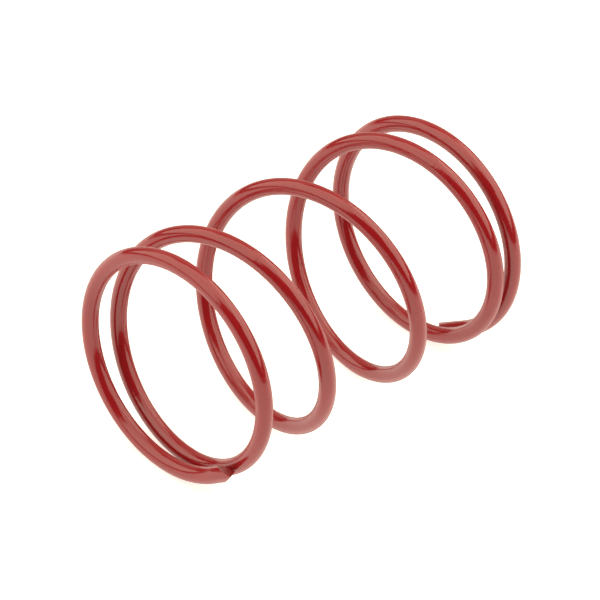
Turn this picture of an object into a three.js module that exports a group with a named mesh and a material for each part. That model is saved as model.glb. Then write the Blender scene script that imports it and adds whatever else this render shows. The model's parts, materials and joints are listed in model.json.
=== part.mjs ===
// Helical compression spring of round wire, lying on its side.
// Millimetres, +Z up. The coil's axis runs along +Y, the front end is at -Y, and the spring rests on z = 0.
//
// The real spring is one wire. A rigid-body model can't bend a wire, so the wire is parted here into lengths:
// a closed coil at each end, and between them one short length at each hour of the clock face that a person
// sees when looking along +Y. Each length slides along the axis on its own when the spring is compressed.

import * as THREE from 'three';

// Driving dimensions, in millimetres and turns of wire.
const WIRE_DIAMETER = 4.2;
const MEAN_DIAMETER = 56;
const TOTAL_TURNS = 5 + 7 / 90;
const ACTIVE_PITCH = 32.3;

// Hand of the helix: the wire advances along +Y as it turns clockwise, seen along +Y.
// Where the front tip stands on the clock face, in degrees after twelve o'clock.
const FRONT_TIP_CLOCK = 133;

// Each end is wound closed, and isn't ground. closedTurns is wound nearly flat, and over leadTurns the pitch
// opens to the active pitch. straightEnd is the last of the wire, which the coiling tool leaves straight.
const FRONT_END = { closedTurns: 0.39, leadTurns: 1.61, straightEnd: 4.3 };
const REAR_END = { closedTurns: 0.7, leadTurns: 1.12, straightEnd: 8 };

// The first of each end's wire lies square to the axis, as the seat that the spring stands on.
const SEAT_TURNS = 1 / 12;

// Clearance between each tip and the next turn of wire, and between two lengths that meet end to end.
const TIP_CLEARANCE = 0.1;
const CUT_CLEARANCE = 0.3;

// How finely the wire is faceted. A flat of its section faces straight out from the coil, and one faces along
// the axis, so that the spring lies and stands on flats.
const WIRE_SIDES = 12;
const STEP_DEGREES = 10;
const HOUR_DEGREES = 30;

// Red powder coat.
const COAT_COLOUR = 0xb02a2e;
const COAT_ROUGHNESS = 0.35;
const COAT_METALNESS = 0;

const DEGREES_PER_TURN = 360;
const MEAN_RADIUS = MEAN_DIAMETER / 2;
const WIRE_RADIUS = WIRE_DIAMETER / 2;
const COIL_AXIS = new THREE.Vector3(0, 1, 0);
const INTEGRATION_STEPS = 400;

// 0 up to 1 with no kink at either end.
function easeInOut(x) {
  const held = THREE.MathUtils.clamp(x, 0, 1);
  return held * held * (3 - 2 * held);
}

// The sum of height(x) over lowest to highest.
function integrate(height, lowest, highest) {
  const width = (highest - lowest) / INTEGRATION_STEPS;
  let sum = 0;
  for (let i = 0; i < INTEGRATION_STEPS; i += 1) {
    sum += height(lowest + (i + 0.5) * width) * width;
  }
  return sum;
}

// How far the pitch has opened, from 0 to 1, at a number of turns in from an end's tip.
function opening(end, turnsIn) {
  return easeInOut((turnsIn - end.closedTurns) / end.leadTurns);
}

// The pitch of the closed turn: whatever lets the tip reach the next turn of wire with TIP_CLEARANCE to spare.
function closedPitch(end) {
  const opened = integrate((turnsIn) => opening(end, turnsIn), 0, 1);
  return (WIRE_DIAMETER + TIP_CLEARANCE - ACTIVE_PITCH * opened) / (1 - SEAT_TURNS - opened);
}

const CLOSED_PITCH = new Map([FRONT_END, REAR_END].map((end) => [end, closedPitch(end)]));

// Axial distance gained per turn at a number of turns in from an end's tip.
function pitchFrom(end, turnsIn) {
  if (turnsIn < SEAT_TURNS) {
    return 0;
  }
  return THREE.MathUtils.lerp(CLOSED_PITCH.get(end), ACTIVE_PITCH, opening(end, turnsIn));
}

// The wire's axial rise from an end's tip, at a number of turns in from it.
function riseFrom(end, turnsIn) {
  return integrate((turns) => pitchFrom(end, turns), 0, turnsIn);
}

const HALF_TURNS = TOTAL_TURNS / 2;
const FRONT_RISE = riseFrom(FRONT_END, HALF_TURNS);

// Degrees on the clock face, counted on through every turn from the front tip.
const REAR_TIP_CLOCK = FRONT_TIP_CLOCK + TOTAL_TURNS * DEGREES_PER_TURN;

// The nearer end, and the turns of wire from its tip, for any place on the wire.
function nearerEnd(clock) {
  const turnsIn = (clock - FRONT_TIP_CLOCK) / DEGREES_PER_TURN;
  if (turnsIn <= HALF_TURNS) {
    return { end: FRONT_END, turnsIn };
  }
  return { end: REAR_END, turnsIn: TOTAL_TURNS - turnsIn };
}

// Distance along the axis from the middle of the wire's length.
function axialPlace(clock) {
  const { end, turnsIn } = nearerEnd(clock);
  if (end === FRONT_END) {
    return riseFrom(FRONT_END, turnsIn) - FRONT_RISE;
  }
  return riseFrom(REAR_END, HALF_TURNS) - riseFrom(REAR_END, turnsIn);
}

// The wire's distance from the coil's axis. Past the tangent point of a straight end it leaves the circle.
function radiusAt(clock) {
  const { end, turnsIn } = nearerEnd(clock);
  const straightAngle = Math.atan(end.straightEnd / MEAN_RADIUS);
  const pastTangent = straightAngle - turnsIn * 2 * Math.PI;
  return MEAN_RADIUS / Math.cos(Math.max(pastTangent, 0));
}

function outward(clock) {
  const angle = THREE.MathUtils.degToRad(clock);
  return new THREE.Vector3(Math.sin(angle), 0, Math.cos(angle));
}

// The wire's centre line over a range of the clock, stepping on whole STEP_DEGREES on either side of each hour.
// Every cross-section lies in a plane that holds the coil's axis, so two lengths slide past each other face to face.
class WireLine extends THREE.Curve {
  constructor(from, to) {
    super();
    this.from = from;
    this.to = to;
    this.stations = [from];
    const firstStep = Math.floor((from + STEP_DEGREES / 2) / STEP_DEGREES) + 0.5;
    for (let clock = firstStep * STEP_DEGREES; clock < to; clock += STEP_DEGREES) {
      if (clock - this.stations.at(-1) > STEP_DEGREES / 4 && to - clock > STEP_DEGREES / 4) {
        this.stations.push(clock);
      }
    }
    this.stations.push(to);
  }

  get steps() {
    return this.stations.length - 1;
  }

  pointAt(clock) {
    return outward(clock).multiplyScalar(radiusAt(clock)).addScaledVector(COIL_AXIS, axialPlace(clock));
  }

  getPoint(share) {
    return this.pointAt(THREE.MathUtils.lerp(this.from, this.to, share));
  }

  getSpacedPoints() {
    return this.stations.map((clock) => this.pointAt(clock));
  }

  // A slanting wire cut along the axis shows an oval, longer along the axis, so that side is stretched to match.
  computeFrenetFrames() {
    const normals = this.stations.map(outward);
    const binormals = this.stations.map((clock) => {
      const { end, turnsIn } = nearerEnd(clock);
      const slope = pitchFrom(end, turnsIn) / (2 * Math.PI * MEAN_RADIUS);
      return COIL_AXIS.clone().multiplyScalar(-Math.hypot(1, slope));
    });
    const tangents = normals.map((normal, i) => normal.clone().cross(binormals[i]).normalize());
    return { tangents, normals, binormals };
  }
}

// Round wire as a polygon whose flats just touch the true circle.
function wireSection() {
  const cornerRadius = WIRE_RADIUS / Math.cos(Math.PI / WIRE_SIDES);
  const corners = Array.from({ length: WIRE_SIDES }, (_, i) => {
    const angle = (2 * Math.PI * (i + 0.5)) / WIRE_SIDES;
    return new THREE.Vector2(Math.cos(angle), Math.sin(angle)).multiplyScalar(cornerRadius);
  });
  return new THREE.Shape(corners);
}

function wireLength(name, from, to) {
  const line = new WireLine(from, to);
  const geometry = new THREE.ExtrudeGeometry(wireSection(), {
    steps: line.steps,
    extrudePath: line,
    bevelEnabled: false,
  });
  const material = new THREE.MeshStandardMaterial({
    color: COAT_COLOUR,
    roughness: COAT_ROUGHNESS,
    metalness: COAT_METALNESS,
  });
  const mesh = new THREE.Mesh(geometry, material);
  mesh.name = name;
  return mesh;
}

// Cuts fall halfway between two hours. Each end coil is one whole turn and runs on to the next cut.
function cutAfter(clock) {
  return (Math.ceil(clock / HOUR_DEGREES - 0.5) + 0.5) * HOUR_DEGREES;
}

function cutBefore(clock) {
  return (Math.floor(clock / HOUR_DEGREES - 0.5) + 0.5) * HOUR_DEGREES;
}

const FRONT_CUT = cutAfter(FRONT_TIP_CLOCK + DEGREES_PER_TURN);
const REAR_CUT = cutBefore(REAR_TIP_CLOCK - DEGREES_PER_TURN);
const HALF_CUT = THREE.MathUtils.radToDeg(CUT_CLEARANCE / MEAN_RADIUS) / 2;

const spring = new THREE.Group();
spring.add(wireLength('front_end_coil', FRONT_TIP_CLOCK, FRONT_CUT - HALF_CUT));

for (let cut = FRONT_CUT; cut < REAR_CUT; cut += HOUR_DEGREES) {
  const middle = cut + HOUR_DEGREES / 2;
  const turn = Math.ceil((middle - FRONT_TIP_CLOCK) / DEGREES_PER_TURN);
  const hour = Math.round(middle / HOUR_DEGREES) % 12 || 12;
  const name = `turn_${turn}_at_${String(hour).padStart(2, '0')}`;
  spring.add(wireLength(name, cut + HALF_CUT, cut + HOUR_DEGREES - HALF_CUT));
}

spring.add(wireLength('rear_end_coil', REAR_CUT + HALF_CUT, REAR_TIP_CLOCK));

// Set the spring down on z = 0 with the middle of its length over the origin.
const box = new THREE.Box3().setFromObject(spring);
spring.position.set(0, -(box.min.y + box.max.y) / 2, -box.min.z);

export default spring;
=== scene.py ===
import json
import math

import bmesh
import bpy
from mathutils import Matrix, Vector


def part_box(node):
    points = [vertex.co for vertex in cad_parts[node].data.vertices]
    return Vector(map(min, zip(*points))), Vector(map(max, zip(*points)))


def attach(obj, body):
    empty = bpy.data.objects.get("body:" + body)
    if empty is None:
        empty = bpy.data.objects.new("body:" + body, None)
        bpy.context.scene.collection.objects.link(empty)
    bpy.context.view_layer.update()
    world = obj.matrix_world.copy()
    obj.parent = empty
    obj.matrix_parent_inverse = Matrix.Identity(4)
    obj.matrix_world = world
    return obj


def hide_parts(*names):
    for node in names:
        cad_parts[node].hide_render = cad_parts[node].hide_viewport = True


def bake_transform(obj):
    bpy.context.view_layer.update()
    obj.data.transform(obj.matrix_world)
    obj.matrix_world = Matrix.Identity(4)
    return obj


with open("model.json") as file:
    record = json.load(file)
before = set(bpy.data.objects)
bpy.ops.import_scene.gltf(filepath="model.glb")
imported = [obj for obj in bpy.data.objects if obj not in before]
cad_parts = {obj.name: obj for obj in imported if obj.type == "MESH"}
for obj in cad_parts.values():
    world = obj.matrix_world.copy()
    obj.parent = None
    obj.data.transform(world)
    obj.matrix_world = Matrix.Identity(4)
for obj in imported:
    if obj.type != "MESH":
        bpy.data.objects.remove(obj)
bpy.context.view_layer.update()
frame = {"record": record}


# The camera.
# It stands about a metre off, ahead of the front end, to its right and above it, and is tipped a little to its left.
# The lens is long, so the turns at the rear look nearly as large as those at the front.
camera_azimuth = math.radians(39.086)
camera_elevation = math.radians(36.553)
camera_roll = math.radians(-7.584)
camera_distance = 0.95106
focal_length = 233.73
sensor_width = 36.0
aim_right = -0.000959
aim_up = -0.001426

forward = Vector((
    -math.sin(camera_azimuth) * math.cos(camera_elevation),
    math.cos(camera_azimuth) * math.cos(camera_elevation),
    -math.sin(camera_elevation),
))
level_right = Vector((math.cos(camera_azimuth), math.sin(camera_azimuth), 0.0))
level_up = level_right.cross(forward)
camera_right = math.cos(camera_roll) * level_right - math.sin(camera_roll) * level_up
camera_up = camera_right.cross(forward)

# The coil's axis lies halfway between the outermost lengths of wire at twelve and at six o'clock.
axis_height = (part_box("turn_3_at_12")[1][2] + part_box("turn_3_at_06")[0][2]) / 2
coil_centre = Vector((0.0, 0.0, axis_height))

camera_data = bpy.data.cameras.new("camera")
camera_data.lens = focal_length
camera_data.sensor_width = sensor_width
camera_data.clip_start = 0.05
camera_data.clip_end = 50.0
camera = bpy.data.objects.new("camera", camera_data)
bpy.context.collection.objects.link(camera)
turn = Matrix((camera_right, camera_up, -forward)).transposed().to_4x4()
aim = coil_centre + aim_right * camera_right + aim_up * camera_up
camera_place = aim - camera_distance * forward
camera.matrix_world = Matrix.Translation(camera_place) @ turn
bpy.context.scene.camera = camera


# The wire between the end coils.
# Hard-drawn spring steel wire, coiled cold on a spring coiler in one length: closed at both ends and open between.
# Every length of it is swept along the same winding rule, between its own two places on the clock face. The clock
# face is the one seen along +Y, counted in degrees from twelve o'clock and on through every turn from the front tip.
wire_diameter = 0.0042
mean_diameter = 0.0560
total_turns = 5 + 7 / 90
active_pitch = 0.0323
front_tip_clock = 133.0
front_closed_turns = 0.39
front_lead_turns = 1.61
front_straight_end = 0.0043
rear_closed_turns = 0.70
rear_lead_turns = 1.12
rear_straight_end = 0.0080
seat_turns = 1 / 12
tip_clearance = 0.0001
wire_sides = 48
steps_per_turn = 360
degrees_per_turn = 360.0
clock_tolerance = 0.01


def closed_pitch(closed_turns, lead_turns):
    """The pitch of the closed turn, at which its tip just clears the next turn of wire."""
    # How far the pitch has opened over the first turn, as the integral of the ease 3 x**2 - 2 x**3.
    x = (1 - closed_turns) / lead_turns
    opened = lead_turns * (x**3 - x**4 / 2)
    return (wire_diameter + tip_clearance - active_pitch * opened) / (1 - seat_turns - opened)


def add_node(tree, kind, inputs=None, **settings):
    """Adds a node with its settings. Each input is a value, or the output that feeds it."""
    node = tree.nodes.new(kind)
    for name, value in settings.items():
        setattr(node, name, value)
    for socket, value in (inputs or {}).items():
        if isinstance(value, bpy.types.NodeSocket):
            tree.links.new(value, node.inputs[socket])
        else:
            node.inputs[socket].default_value = value
    return node


winding = bpy.data.node_groups.new("wound wire", "GeometryNodeTree")
winding.is_modifier = True
winding_sizes = {
    "Wire Diameter": wire_diameter,
    "Mean Diameter": mean_diameter,
    "Axis Height": axis_height,
    "Total Turns": total_turns,
    "Active Pitch": active_pitch,
    "Front Tip Clock": front_tip_clock,
    "Front Closed Turns": front_closed_turns,
    "Front Lead Turns": front_lead_turns,
    "Front Closed Pitch": closed_pitch(front_closed_turns, front_lead_turns),
    "Front Straight End": front_straight_end,
    "Rear Closed Turns": rear_closed_turns,
    "Rear Lead Turns": rear_lead_turns,
    "Rear Closed Pitch": closed_pitch(rear_closed_turns, rear_lead_turns),
    "Rear Straight End": rear_straight_end,
    "Seat Turns": seat_turns,
    "From Clock": 0.0,
    "To Clock": 0.0,
}
winding_socket = {}
for name, value in winding_sizes.items():
    socket = winding.interface.new_socket(name, in_out="INPUT", socket_type="NodeSocketFloat")
    socket.default_value = value
    winding_socket[name] = socket.identifier
for name, value in (("Wire Sides", wire_sides), ("Steps", round(total_turns * steps_per_turn))):
    socket = winding.interface.new_socket(name, in_out="INPUT", socket_type="NodeSocketInt")
    socket.default_value = value
    winding_socket[name] = socket.identifier
socket = winding.interface.new_socket("Coating", in_out="INPUT", socket_type="NodeSocketMaterial")
winding_socket["Coating"] = socket.identifier
winding.interface.new_socket("Geometry", in_out="OUTPUT", socket_type="NodeSocketGeometry")
size = add_node(winding, "NodeGroupInput").outputs

# One point for each step along the wire, and how many turns each lies in from either tip.
points = add_node(winding, "ShaderNodeMath", {0: size["Steps"], 1: 1.0}, operation="ADD")
stations = add_node(winding, "GeometryNodeResampleCurve", {
    "Curve": add_node(winding, "GeometryNodeCurvePrimitiveLine").outputs["Curve"],
    "Count": points.outputs[0],
})
index = add_node(winding, "GeometryNodeInputIndex")
share = add_node(winding, "ShaderNodeMath", {0: index.outputs[0], 1: size["Steps"]}, operation="DIVIDE")
step = add_node(winding, "ShaderNodeMath", {0: size["Total Turns"], 1: size["Steps"]}, operation="DIVIDE")
front_turns = add_node(winding, "ShaderNodeMath", {
    0: share.outputs[0], 1: size["Total Turns"],
}, operation="MULTIPLY")
rear_turns = add_node(winding, "ShaderNodeMath", {
    0: size["Total Turns"], 1: front_turns.outputs[0],
}, operation="SUBTRACT")
clock = add_node(winding, "ShaderNodeMath", {
    0: front_turns.outputs[0], 1: degrees_per_turn, 2: size["Front Tip Clock"],
}, operation="MULTIPLY_ADD")
angle = add_node(winding, "ShaderNodeMath", {0: clock.outputs[0]}, operation="RADIANS")

# The pitch at each end: none on the seat, the closed pitch, and then smoothly up to the active pitch.
# The straight end leaves the circle along its tangent, so its distance from the axis grows.
mean_radius = add_node(winding, "ShaderNodeMath", {0: size["Mean Diameter"], 1: 0.5}, operation="MULTIPLY")
half_step = add_node(winding, "ShaderNodeMath", {0: step.outputs[0], 1: 0.5}, operation="MULTIPLY")
end_pitches = []
end_spreads = []
for end, turns_in, to_middle in (("Front", front_turns, "ADD"), ("Rear", rear_turns, "SUBTRACT")):
    halfway = add_node(winding, "ShaderNodeMath", {
        0: turns_in.outputs[0], 1: half_step.outputs[0],
    }, operation=to_middle)
    opened_at = add_node(winding, "ShaderNodeMath", {
        0: size[end + " Closed Turns"], 1: size[end + " Lead Turns"],
    }, operation="ADD")
    pitch = add_node(winding, "ShaderNodeMapRange", {
        "Value": halfway.outputs[0],
        "From Min": size[end + " Closed Turns"], "From Max": opened_at.outputs[0],
        "To Min": size[end + " Closed Pitch"], "To Max": size["Active Pitch"],
    }, interpolation_type="SMOOTHSTEP")
    off_seat = add_node(winding, "ShaderNodeMath", {
        0: halfway.outputs[0], 1: size["Seat Turns"],
    }, operation="GREATER_THAN")
    end_pitches.append(add_node(winding, "ShaderNodeMath", {
        0: pitch.outputs[0], 1: off_seat.outputs[0],
    }, operation="MULTIPLY"))

    slope = add_node(winding, "ShaderNodeMath", {
        0: size[end + " Straight End"], 1: mean_radius.outputs[0],
    }, operation="DIVIDE")
    straight_angle = add_node(winding, "ShaderNodeMath", {0: slope.outputs[0]}, operation="ARCTANGENT")
    past_tangent = add_node(winding, "ShaderNodeMath", {
        0: turns_in.outputs[0], 1: -2 * math.pi, 2: straight_angle.outputs[0],
    }, operation="MULTIPLY_ADD")
    held = add_node(winding, "ShaderNodeMath", {0: past_tangent.outputs[0], 1: 0.0}, operation="MAXIMUM")
    end_spreads.append(add_node(winding, "ShaderNodeMath", {0: held.outputs[0]}, operation="COSINE"))

# The rises of all the steps up to a point add up to its place along the axis, with the middle of the wire at zero.
lower_pitch = add_node(winding, "ShaderNodeMath", {
    0: end_pitches[0].outputs[0], 1: end_pitches[1].outputs[0],
}, operation="MINIMUM")
rise = add_node(winding, "ShaderNodeMath", {0: lower_pitch.outputs[0], 1: step.outputs[0]}, operation="MULTIPLY")
not_last = add_node(winding, "FunctionNodeCompare", {
    2: index.outputs[0], 3: size["Steps"],
}, data_type="INT", operation="LESS_THAN")
rise_here = add_node(winding, "ShaderNodeMath", {0: rise.outputs[0], 1: not_last.outputs[0]}, operation="MULTIPLY")
climbed = add_node(winding, "GeometryNodeAccumulateField", {
    0: rise_here.outputs[0],
}, data_type="FLOAT", domain="POINT")
along_axis = add_node(winding, "ShaderNodeMath", {
    0: climbed.outputs["Total"], 1: -0.5, 2: climbed.outputs["Trailing"],
}, operation="MULTIPLY_ADD")

spread = add_node(winding, "ShaderNodeMath", {
    0: end_spreads[0].outputs[0], 1: end_spreads[1].outputs[0],
}, operation="MULTIPLY")
radius = add_node(winding, "ShaderNodeMath", {0: mean_radius.outputs[0], 1: spread.outputs[0]}, operation="DIVIDE")
sine = add_node(winding, "ShaderNodeMath", {0: angle.outputs[0]}, operation="SINE")
cosine = add_node(winding, "ShaderNodeMath", {0: angle.outputs[0]}, operation="COSINE")
outward = add_node(winding, "ShaderNodeCombineXYZ", {"X": sine.outputs[0], "Z": cosine.outputs[0]})
foot = add_node(winding, "ShaderNodeCombineXYZ", {"Y": along_axis.outputs[0], "Z": size["Axis Height"]})
centre = add_node(winding, "ShaderNodeVectorMath", {
    0: outward.outputs[0], 1: radius.outputs[0], 2: foot.outputs[0],
}, operation="MULTIPLY_ADD")
wound = add_node(winding, "GeometryNodeSetPosition", {
    "Geometry": stations.outputs["Curve"], "Position": centre.outputs[0],
})

# Only the stretch that this length covers is swept with the round wire. Its sides are smooth and its ends flat.
after = add_node(winding, "ShaderNodeMath", {0: clock.outputs[0], 1: size["From Clock"]}, operation="SUBTRACT")
before = add_node(winding, "ShaderNodeMath", {0: size["To Clock"], 1: clock.outputs[0]}, operation="SUBTRACT")
inside = add_node(winding, "ShaderNodeMath", {0: after.outputs[0], 1: before.outputs[0]}, operation="MINIMUM")
kept = add_node(winding, "ShaderNodeMath", {0: inside.outputs[0], 1: -clock_tolerance}, operation="GREATER_THAN")
stretch = add_node(winding, "GeometryNodeSeparateGeometry", {
    "Geometry": wound.outputs[0], "Selection": kept.outputs[0],
}, domain="POINT")
wire_radius = add_node(winding, "ShaderNodeMath", {0: size["Wire Diameter"], 1: 0.5}, operation="MULTIPLY")
section = add_node(winding, "GeometryNodeCurvePrimitiveCircle", {
    "Resolution": size["Wire Sides"], "Radius": wire_radius.outputs[0],
})
swept = add_node(winding, "GeometryNodeCurveToMesh", {
    "Curve": stretch.outputs["Selection"],
    "Profile Curve": section.outputs["Curve"],
    "Fill Caps": True,
})
corners = add_node(winding, "GeometryNodeInputMeshFaceNeighbors")
wall = add_node(winding, "FunctionNodeCompare", {
    2: corners.outputs["Vertex Count"], 3: 5,
}, data_type="INT", operation="LESS_THAN")
smooth = add_node(winding, "GeometryNodeSetShadeSmooth", {
    "Geometry": swept.outputs[0], "Shade Smooth": wall.outputs[0],
})
coated = add_node(winding, "GeometryNodeSetMaterial", {"Geometry": smooth.outputs[0], "Material": size["Coating"]})
real = add_node(winding, "GeometryNodeRealizeInstances", {"Geometry": coated.outputs[0]})
add_node(winding, "NodeGroupOutput", {"Geometry": real.outputs[0]})


def linear(hex_colour):
    """An sRGB hex colour as the linear colour that a shader takes."""
    channels = [int(hex_colour[i:i + 2], 16) / 255 for i in (1, 3, 5)]
    return tuple(c / 12.92 if c <= 0.04045 else ((c + 0.055) / 1.055) ** 2.4 for c in channels) + (1.0,)


# Red polyester powder coat, sprayed on dry and baked. It melts and flows round the wire into a gloss that shows the
# lights as long pale bands between deep red ones, and the bands waver a little where the coat dries to orange peel.
peel_size = 0.0016
peel_depth = 0.00003
# The grains of the powder are about 0.05 mm, too fine to show, so the grit is drawn ten times as coarse.
grit_size = 0.0005
grit_depth = 0.000004
# The coat runs a little thicker and darker, then thinner and lighter, every 9 mm or so.
flow_size = 0.009
thick_coat, thin_coat = "#88161A", "#96181D"
least_roughness, most_roughness = 0.12, 0.17
# On a cropped face it lies thin and dull over the torn steel. The tears are drawn about three times as coarse.
tear_size = 0.0011
tear_depth = 0.0006
torn_coat = "#861618"
torn_roughness = 0.28
# Seen edge-on, peel and grit break up the shine, so the outline of the wire stays soft instead of turning white.
edge_on_roughness = 0.7

powder_coat = bpy.data.materials.new("red powder coat")
powder_coat.use_nodes = True
coat = powder_coat.node_tree
coat.nodes.clear()
place = add_node(coat, "ShaderNodeTexCoord")
peel = add_node(coat, "ShaderNodeTexNoise", {
    "Vector": place.outputs["Object"], "Scale": 1 / peel_size, "Detail": 2.0, "Roughness": 0.5,
})
grit = add_node(coat, "ShaderNodeTexNoise", {
    "Vector": place.outputs["Object"], "Scale": 1 / grit_size, "Detail": 1.0, "Roughness": 0.5,
})
flow = add_node(coat, "ShaderNodeTexNoise", {
    "Vector": place.outputs["Object"], "Scale": 1 / flow_size, "Detail": 2.0, "Roughness": 0.5,
})
torn = add_node(coat, "ShaderNodeTexNoise", {
    "Vector": place.outputs["Object"], "Scale": 1 / tear_size, "Detail": 3.0, "Roughness": 0.6,
})
cropped = add_node(coat, "ShaderNodeAttribute", attribute_name="cropped")
colour = add_node(coat, "ShaderNodeMix", {
    "Factor": flow.outputs[0], 6: linear(thick_coat), 7: linear(thin_coat),
}, data_type="RGBA")
colour_or_torn = add_node(coat, "ShaderNodeMix", {
    "Factor": cropped.outputs["Fac"], 6: colour.outputs[2], 7: linear(torn_coat),
}, data_type="RGBA")
gloss = add_node(coat, "ShaderNodeMapRange", {
    "Value": flow.outputs[0], "From Min": 0.3, "From Max": 0.7,
    "To Min": least_roughness, "To Max": most_roughness,
})
gloss_or_torn = add_node(coat, "ShaderNodeMix", {
    0: cropped.outputs["Fac"], 2: gloss.outputs[0], 3: torn_roughness,
})
edge_on = add_node(coat, "ShaderNodeLayerWeight", {"Blend": 0.5})
near_edge = add_node(coat, "ShaderNodeMapRange", {
    "Value": edge_on.outputs["Facing"], "From Min": 0.6, "From Max": 1.0,
})
roughness = add_node(coat, "ShaderNodeMix", {
    0: near_edge.outputs[0], 2: gloss_or_torn.outputs[0], 3: edge_on_roughness,
})
peel_bump = add_node(coat, "ShaderNodeBump", {
    "Height": peel.outputs[0], "Strength": 1.0, "Distance": peel_depth,
})
grit_bump = add_node(coat, "ShaderNodeBump", {
    "Height": grit.outputs[0], "Strength": 1.0, "Distance": grit_depth, "Normal": peel_bump.outputs[0],
})
torn_bump = add_node(coat, "ShaderNodeBump", {
    "Height": torn.outputs[0], "Strength": cropped.outputs["Fac"], "Distance": tear_depth,
    "Normal": grit_bump.outputs[0],
})
surface = add_node(coat, "ShaderNodeBsdfPrincipled", {
    "Base Color": colour_or_torn.outputs[2],
    "Roughness": roughness.outputs[0],
    "Normal": torn_bump.outputs[0],
    "IOR": 1.6,
})
add_node(coat, "ShaderNodeOutputMaterial", {"Surface": surface.outputs[0]})


def wind(piece_name, from_clock, to_clock):
    """A length of coated wire between two places on the clock face, as a plain mesh."""
    holder = bpy.data.objects.new("holder", bpy.data.meshes.new("holder"))
    bpy.context.collection.objects.link(holder)
    modifier = holder.modifiers.new("wound wire", "NODES")
    modifier.node_group = winding
    modifier[winding_socket["From Clock"]] = from_clock
    modifier[winding_socket["To Clock"]] = to_clock
    modifier[winding_socket["Coating"]] = powder_coat
    evaluated = holder.evaluated_get(bpy.context.evaluated_depsgraph_get())
    mesh = bpy.data.meshes.new_from_object(evaluated)
    mesh.name = piece_name
    bpy.data.objects.remove(holder)
    piece = bpy.data.objects.new(piece_name, mesh)
    bpy.context.collection.objects.link(piece)
    return piece


# The end coils are each a whole turn, run on to the next place halfway between two hours of the clock face.
hour = 30.0
rear_tip_clock = front_tip_clock + degrees_per_turn * total_turns
front_cut = (math.ceil((front_tip_clock + degrees_per_turn) / hour - 0.5) + 0.5) * hour
rear_cut = (math.floor((rear_tip_clock - degrees_per_turn) / hour - 0.5) + 0.5) * hour

# Between the end coils the wire is wound as one length for each hour of the clock face, each named after its
# joint in the record.
couplings = frame["record"]["behaviour"]["couplings"]
for number, coupling in enumerate(couplings):
    node = coupling["joint"].removeprefix("slide_")
    from_clock = front_cut + number * hour
    piece = wind("wire_" + node, from_clock, from_clock + hour)
    rim = [vertex.co.copy() for vertex in piece.data.vertices]
    end = sum(rim[-wire_sides:], Vector()) / wire_sides
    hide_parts(node)
    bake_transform(piece)


# The front end coil.
# The first turn of the same wire, wound closed so that it lies against the next turn. It isn't ground: the spring
# stands on the first of it. Two blades pinch the wire off, from inside and outside the coil, and leave a skewed
# wedge with dull edges.
front_coil = wind("wire_front_end_coil", front_tip_clock, front_cut)

# Each blade's face: its slope along the wire, out of the coil and along the axis, and its depth from the square end.
front_blades = (((0.484, -0.796, 0.362), 0.00092), ((0.378, 0.893, 0.244), 0.00154))
stub_length = 1.2 * wire_diameter
edge_rounding = 0.00018
on_a_face = 0.000001


def crop(piece, rings_in, straight_end, blades):
    """Cuts a tip with its blades. rings_in gives how far in from the tip a ring of the mesh lies."""
    mesh = bmesh.new()
    mesh.from_mesh(piece.data)
    straight_angle = math.atan(straight_end * 2 / mean_diameter)
    straight_rings = int(steps_per_turn * straight_angle / (2 * math.pi))
    ring = {vertex: rings_in(vertex.index // wire_sides) for vertex in mesh.verts}
    rest_of_coil = {vertex for vertex in mesh.verts if ring[vertex] > straight_rings}
    tip, further_in = (
        sum((vertex.co for vertex in mesh.verts if ring[vertex] == number), Vector()) / wire_sides
        for number in (0, straight_rings)
    )
    along_coil = Vector((0.0, 1.0, 0.0))
    along_wire = (tip - further_in).normalized()
    out_of_coil = Vector((tip.x, 0.0, tip.z - axis_height))
    out_of_coil = (out_of_coil - out_of_coil.dot(along_wire) * along_wire).normalized()

    # The straight end is made one plain stub, with enough wire beyond the tip for the blades to cut.
    for vertex in mesh.verts:
        if ring[vertex] == 0:
            vertex.co += along_wire * stub_length
    bmesh.ops.dissolve_edges(mesh, use_verts=True, edges=[
        edge for edge in mesh.edges
        if ring[edge.verts[0]] == ring[edge.verts[1]] and 0 < ring[edge.verts[0]] < straight_rings
    ])

    # Each blade cuts the stub off along its face, and the cut is closed.
    faces_cut = []
    for slope, depth in blades:
        normal = (slope[0] * along_wire + slope[1] * out_of_coil + slope[2] * along_coil).normalized()
        stub = [vertex for vertex in mesh.verts if vertex not in rest_of_coil]
        walls = [wall for wall in mesh.edges[:] + mesh.faces[:] if rest_of_coil.isdisjoint(wall.verts)]
        cut = bmesh.ops.bisect_plane(
            mesh, geom=stub + walls, dist=1e-7,
            plane_co=tip + normal * depth, plane_no=normal, clear_outer=True,
        )
        rim = [edge for edge in cut["geom_cut"] if isinstance(edge, bmesh.types.BMEdge)]
        bmesh.ops.edgenet_fill(mesh, edges=rim)
        faces_cut.append((normal, tip.dot(normal) + depth))

    # The blades' faces are the only ones with many corners. They are flat, and their edges are rounded over.
    facets = [face for face in mesh.faces if len(face.verts) > 5 and rest_of_coil.isdisjoint(face.verts)]
    for facet in facets:
        facet.smooth = False
    edges = list(dict.fromkeys(edge for facet in facets for edge in facet.edges))
    bmesh.ops.bevel(
        mesh, geom=edges, offset=edge_rounding, segments=3, profile=0.5, affect="EDGES", clamp_overlap=True,
    )
    bmesh.ops.recalc_face_normals(mesh, faces=mesh.faces)

    # The coat tells the cropped faces by this attribute.
    cropped_layer = mesh.verts.layers.float.new("cropped")
    for vertex in mesh.verts:
        off_faces = [abs(vertex.co.dot(normal) - depth) for normal, depth in faces_cut]
        if vertex not in rest_of_coil and min(off_faces) < on_a_face:
            vertex[cropped_layer] = 1.0
    mesh.to_mesh(piece.data)
    mesh.free()


crop(front_coil, lambda number: number, front_straight_end, front_blades)
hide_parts("front_end_coil")
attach(front_coil, "front_end_coil")


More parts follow.
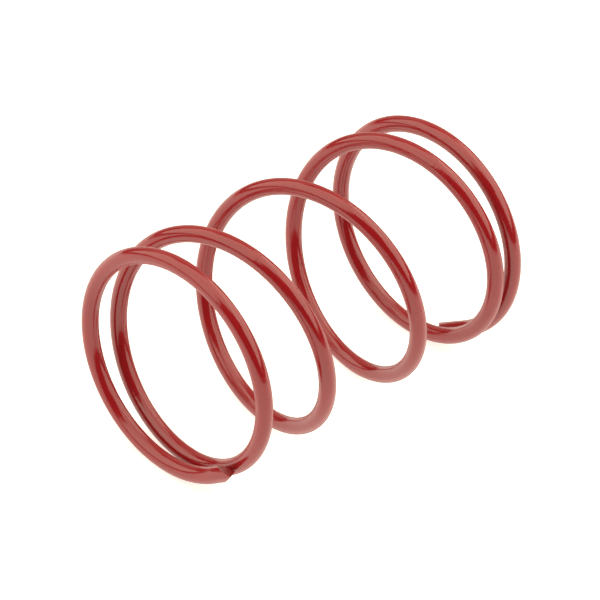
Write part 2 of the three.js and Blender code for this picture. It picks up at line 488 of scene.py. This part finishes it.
# The rear end coil.
# The last turn of the same wire, wound closed as the first is. The coiler leaves more of its end straight, so its
# tip stands off the coil. It is pinched off with its rear side the longest, and flat where it lies on the table.
rear_coil = wind("wire_rear_end_coil", rear_cut, rear_tip_clock)
rear_blades = (((0.651, -0.325, -0.686), 0.00106), ((0.573, 0.820, 0.0), 0.0022))
last_ring = len(rear_coil.data.vertices) // wire_sides - 1
crop(rear_coil, lambda number: last_ring - number, rear_straight_end, rear_blades)
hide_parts("rear_end_coil")
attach(rear_coil, "rear_end_coil")


# The table.
# A seamless sheet of white acrylic, lit from below as well as from above, so the spring throws no shadow on it.
# Its satin face gives a plain white floor, with a tone that drifts too little to see.
table_half_side = 3.0
cloud_size = 1 / 3
sheet_dark, sheet_light = "#CCCCCC", "#D1D1D1"
sheet_glow = (1.0, 0.98, 0.89, 1.0)
sheet_glow_strength = 0.78

sheet = bpy.data.materials.new("white acrylic sheet")
sheet.use_nodes = True
tree = sheet.node_tree
tree.nodes.clear()
place = add_node(tree, "ShaderNodeTexCoord")
cloud = add_node(tree, "ShaderNodeTexNoise", {
    "Vector": place.outputs["Object"], "Scale": 1 / cloud_size, "Detail": 2.0,
})
tone = add_node(tree, "ShaderNodeMix", {
    "Factor": cloud.outputs[0], 6: linear(sheet_dark), 7: linear(sheet_light),
}, data_type="RGBA")
surface = add_node(tree, "ShaderNodeBsdfPrincipled", {
    "Base Color": tone.outputs[2],
    "Roughness": 0.9,
    "Emission Color": sheet_glow,
    "Emission Strength": sheet_glow_strength,
})
add_node(tree, "ShaderNodeOutputMaterial", {"Surface": surface.outputs[0]})

table_mesh = bpy.data.meshes.new("table")
grid = bmesh.new()
bmesh.ops.create_grid(grid, x_segments=8, y_segments=8, size=table_half_side)
grid.to_mesh(table_mesh)
grid.free()
table_mesh.materials.append(sheet)
table = bpy.data.objects.new("table", table_mesh)
bpy.context.collection.objects.link(table)


# The lights.
# Softboxes stand round the spring: a square one overhead, one to its left, one behind it to the right, and a dim
# reflector behind it to the left. The side that the camera stands on is dark. They make the bands in the coat.
lamp_colour = (1.0, 0.97, 0.79)


def softbox(name, azimuth, elevation, distance, width, height, radiance):
    """A rectangular lamp that faces the spring. Azimuth is in degrees round from the front, towards the right."""
    data = bpy.data.lights.new(name, "AREA")
    data.shape = "RECTANGLE"
    data.size = width
    data.size_y = height
    data.energy = radiance * math.pi * width * height
    data.color = lamp_colour
    light = bpy.data.objects.new(name, data)
    bpy.context.collection.objects.link(light)
    round_angle, up_angle = math.radians(azimuth), math.radians(elevation)
    direction = Vector((
        math.sin(round_angle) * math.cos(up_angle), -math.cos(round_angle) * math.cos(up_angle), math.sin(up_angle),
    ))
    facing = direction.to_track_quat("Z", "Y").to_matrix().to_4x4()
    light.matrix_world = Matrix.Translation(coil_centre + distance * direction) @ facing


softbox("overhead softbox", 140, 89, 0.9, 1.0, 1.0, 2.0)
softbox("left softbox", -42, 35, 0.9, 1.40, 0.90, 2.1)
softbox("rear right softbox", 140, 40, 0.9, 1.80, 0.84, 2.3)
softbox("rear left reflector", -130, 28, 1.1, 1.40, 1.00, 0.5)

# Beyond the table is a pale backdrop, which the spring itself hardly sees.
glow_on_spring, glow_in_view = 0.03, 0.9
studio = bpy.data.worlds.new("studio")
studio.use_nodes = True
tree = studio.node_tree
tree.nodes.clear()
ray = add_node(tree, "ShaderNodeLightPath")
strength = add_node(tree, "ShaderNodeMapRange", {
    "Value": ray.outputs["Is Camera Ray"], "To Min": glow_on_spring, "To Max": glow_in_view,
})
backdrop = add_node(tree, "ShaderNodeBackground", {
    "Color": (1.0, 1.0, 1.0, 1.0), "Strength": strength.outputs[0],
})
add_node(tree, "ShaderNodeOutputWorld", {"Surface": backdrop.outputs[0]})
bpy.context.scene.world = studio
bpy.context.scene.view_settings.view_transform = "Standard"
